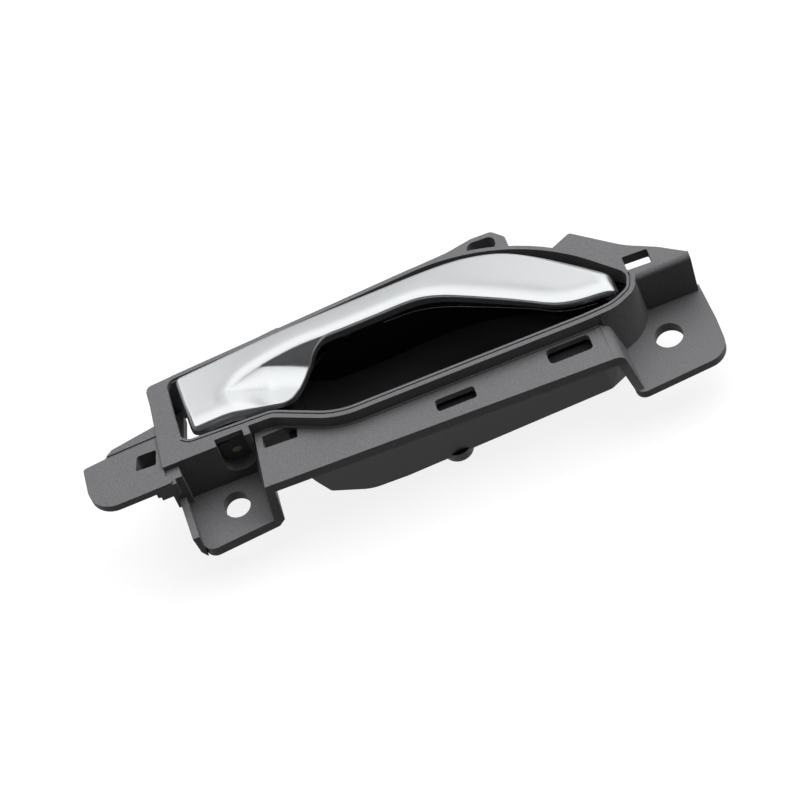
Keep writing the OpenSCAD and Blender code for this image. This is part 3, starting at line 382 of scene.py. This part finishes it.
def skin(name, xs, vs, y0, y1, high, low):
    """A closed, smooth-shaded skin between two heights over the strip from y0(x) to y1(x), in mm."""
    verts, n, m = [], len(xs), len(vs)
    edges = [(y0(x), y1(x)) for x in xs]
    for side in (high, low):
        for x, (a, b) in zip(xs, edges):
            verts += [row(x, a + (b - a) * v, side(x, a + (b - a) * v, a, b)) for v in vs]
    faces = []
    for i in range(n - 1):
        for j in range(m - 1):
            q = i * m + j
            faces.append((q, q + m, q + m + 1, q + 1))
            q += n * m
            faces.append((q, q + 1, q + m + 1, q + m))
        for j, flip in ((0, True), (m - 1, False)):
            q = i * m + j
            ring = (q, q + n * m, q + n * m + m, q + m)
            faces.append(ring if flip else ring[::-1])
    for i, flip in ((0, False), (n - 1, True)):
        for j in range(m - 1):
            q = i * m + j
            ring = (q, q + n * m, q + n * m + 1, q + 1)
            faces.append(ring if flip else ring[::-1])
    mesh = bpy.data.meshes.new(name)
    mesh.from_pydata(verts, [], faces)
    bm = bmesh.new()
    bm.from_mesh(mesh)
    bmesh.ops.recalc_face_normals(bm, faces=bm.faces)
    bm.to_mesh(mesh)
    bm.free()
    smooth(mesh)
    mesh.set_sharp_from_angle(angle=SKIN_SHARP)
    return placed(name, mesh)


def spread(a, b, n, ends):
    """n + 1 stations from a to b that crowd towards both ends."""
    return [a + (b - a) * ((1 - ends) * k / n + ends * 0.5 * (1 - math.cos(math.pi * k / n)))
            for k in range(n + 1)]


SKIN_WALL, SKIN_BACK = 1.4, -2.2
face = skin("lever_face", spread(LEFT, TIP, 360, 0.45), spread(0, 1, 110, 0.8), face_low, face_high,
            face_z, lambda x, y, a, b: min(SKIN_BACK, face_z(x, y, a, b) - SKIN_WALL))
worn_by(face, "lever_shell")

COVER_START, COVER_END = -4, TIP - 1.4
COVER_INSET, COVER_FRONT, COVER_BACK, COVER_BELLY = 1.2, -5.0, -6, 2.2


def belly(x, y, a, b):
    """Rounded back of the cover, which thins out towards both ends."""
    s = (y - (a + b) / 2) / max(0.5, (b - a) / 2)
    return (COVER_BACK - COVER_BELLY * math.sqrt(max(0, 1 - s * s)) * min(1, (COVER_END - x) / 4 + 0.3)
            * min(1, (x - COVER_START) / 10 + 0.2))


cover = skin("grip_back", spread(COVER_START, COVER_END, 150, 0.5), spread(0, 1, 28, 0.9),
             lambda x: low_edge(min(x + 0.6, TIP)) + COVER_INSET,
             lambda x: high_edge(min(x + 0.6, TIP)) - COVER_INSET,
             lambda x, y, a, b: COVER_FRONT, belly)
worn_by(cover, "grip_cover")


def bead(name, points, radius, slot, body):
    """A fine round line through the points, in mm."""
    data = bpy.data.curves.new(name, "CURVE")
    data.dimensions = "3D"
    data.bevel_depth = radius * MM
    data.bevel_resolution = 3
    line = data.splines.new("POLY")
    line.points.add(len(points) - 1)
    for spot, p in zip(line.points, points):
        spot.co = (*row(*p), 1)
    rod = placed(name + "_path", data)
    deps = bpy.context.evaluated_depsgraph_get()
    obj = placed(name, bpy.data.meshes.new_from_object(rod.evaluated_get(deps)))
    bpy.data.objects.remove(rod)
    smooth(obj.data)
    paint(obj, slot)
    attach(obj, body)


# Hem of the metal skin: the fine bright line where it closes on the black back.
HEM_START, HEM_END, HEM_INSET, HEM_Z, HEM_RADIUS = 4, TIP - 7, 0.72, -6.85, 0.16
bead("skin_hem", [(x, low_edge(x) + HEM_INSET, HEM_Z) for x in spread(HEM_START, HEM_END, 90, 0)],
     HEM_RADIUS, "satin_metal", BODY_OF["lever_shell"])


# ---------------------------------------------------------------- floor
def seen_rays(nodes, links):
    """1 for a ray that looks at the background: straight, in a gloss or through glass."""
    path = nodes.new("ShaderNodeLightPath")
    total = path.outputs["Is Camera Ray"]
    for name in ("Is Glossy Ray", "Is Transmission Ray"):
        larger = nodes.new("ShaderNodeMath")
        larger.operation = "MAXIMUM"
        links.new(total, larger.inputs[0])
        links.new(path.outputs[name], larger.inputs[1])
        total = larger.outputs["Value"]
    return total


def diffuse(nodes, grey):
    node = nodes.new("ShaderNodeBsdfDiffuse")
    node.inputs["Color"].default_value = (grey, grey, grey, 1)
    return node.outputs["BSDF"]


FLOOR_HALF, FLOOR_GAP = 4.0, 0.0002
FLOOR_GLOW, FLOOR_SEEN, FLOOR_UNSEEN = 0.86, 0.17, 0.07

lo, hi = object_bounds()
floor_mesh = bpy.data.meshes.new("floor")
floor_mesh.from_pydata([(x * FLOOR_HALF, y * FLOOR_HALF, lo.z - FLOOR_GAP)
                        for x, y in ((-1, -1), (1, -1), (1, 1), (-1, 1))], [], [(0, 1, 2, 3)])
floor = placed("floor", floor_mesh)
floor_mat = bpy.data.materials.new("floor")
floor_mat.use_nodes = True
fn, fl = floor_mat.node_tree.nodes, floor_mat.node_tree.links
fn.clear()
glow = fn.new("ShaderNodeEmission")
glow.inputs["Color"].default_value = (1, 1, 1, 1)
glow.inputs["Strength"].default_value = FLOOR_GLOW
seen = fn.new("ShaderNodeAddShader")
shown = fn.new("ShaderNodeMixShader")
floor_out = fn.new("ShaderNodeOutputMaterial")
fl.new(glow.outputs["Emission"], seen.inputs[0])
fl.new(diffuse(fn, FLOOR_SEEN), seen.inputs[1])
fl.new(seen_rays(fn, fl), shown.inputs["Fac"])
fl.new(diffuse(fn, FLOOR_UNSEEN), shown.inputs[1])
fl.new(seen.outputs["Shader"], shown.inputs[2])
fl.new(shown.outputs["Shader"], floor_out.inputs["Surface"])
floor_mesh.materials.append(floor_mat)
floor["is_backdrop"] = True

# ---------------------------------------------------------------- camera
TURN, TILT, DISTANCE = math.radians(21.5), math.radians(36), 990.0    # distance in mm
SENSOR, FOCAL_PIXELS, PICTURE_PIXELS = 36, 3300, 800

cam_data = bpy.data.cameras.new("camera")
cam_data.sensor_width = SENSOR
cam_data.lens = FOCAL_PIXELS * SENSOR / PICTURE_PIXELS
cam_data.clip_start, cam_data.clip_end = 0.05, 20
camera = placed("camera", cam_data)
bpy.context.scene.camera = camera
back = Vector((0, -math.sin(TILT), math.cos(TILT)))
level_up = Vector((0, math.cos(TILT), math.sin(TILT)))
level_right = Vector((1, 0, 0))
right = math.cos(TURN) * level_right - math.sin(TURN) * level_up
up = math.sin(TURN) * level_right + math.cos(TURN) * level_up
camera.matrix_world = (Matrix.Translation(row(*(DISTANCE * back)))
                       @ Matrix((right, up, back)).transposed().to_4x4())

# ---------------------------------------------------------------- lamps
CENTRE = row(0, 15, 0)


def area(name, place, target, energy, width, depth):
    """A rectangular lamp, placed and aimed in metres from the part's middle."""
    data = bpy.data.lights.new(name, "AREA")
    data.shape = "RECTANGLE"
    data.size, data.size_y = width, depth
    data.energy = energy
    lamp = placed(name, data)
    place, target = CENTRE + Vector(place), CENTRE + Vector(target)
    lamp.location = place
    lamp.rotation_mode = "QUATERNION"
    lamp.rotation_quaternion = (target - place).to_track_quat("-Z", "Y")
    return lamp


area("overhead", (0.4, 0.14, 1.3), (0.4, 0.14, 0), 11.6, 3.2, 0.8)
area("rear left", (-1.0, 1.45, 1.55), (-0.3, 0, 0), 7.6, 1.3, 1.6)
area("rear middle", (-0.08, 1.45, 1.55), (-0.08, 0, 0), 1.2, 0.56, 1.6)
area("rear right", (0.9, 1.45, 1.55), (0.3, 0, 0), 8.8, 1.4, 1.6)
wash = area("wash", (0.6, 0.5, 1.3), (0.4, 0.2, 0), 28, 2.4, 1.0)
wash.visible_glossy = False

# ---------------------------------------------------------------- world
HORIZON, ZENITH = (0.02, 1.0), (0.25, 0.09)     # height of the ray, and the light seen there
AMBIENT = 0.035

world = bpy.data.worlds.new("world")
bpy.context.scene.world = world
world.use_nodes = True
wn, wl = world.node_tree.nodes, world.node_tree.links
wn.clear()
way = wn.new("ShaderNodeTexCoord")
axes = wn.new("ShaderNodeSeparateXYZ")
wl.new(way.outputs["Generated"], axes.inputs["Vector"])
rise = remap(wn, wl, axes.outputs["Z"], HORIZON[1], ZENITH[1], HORIZON[0], ZENITH[0])
rise.interpolation_type = "SMOOTHSTEP"
white = wn.new("ShaderNodeBackground")
white.inputs["Color"].default_value = (1, 1, 1, 1)
wl.new(rise.outputs["Result"], white.inputs["Strength"])
dim = wn.new("ShaderNodeBackground")
dim.inputs["Color"].default_value = (1, 1, 1, 1)
dim.inputs["Strength"].default_value = AMBIENT
pick = wn.new("ShaderNodeMixShader")
out = wn.new("ShaderNodeOutputWorld")
wl.new(seen_rays(wn, wl), pick.inputs["Fac"])
wl.new(dim.outputs["Background"], pick.inputs[1])
wl.new(white.outputs["Background"], pick.inputs[2])
wl.new(pick.outputs["Shader"], out.inputs["Surface"])

bpy.context.scene.view_settings.view_transform = "Standard"

lo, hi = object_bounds()
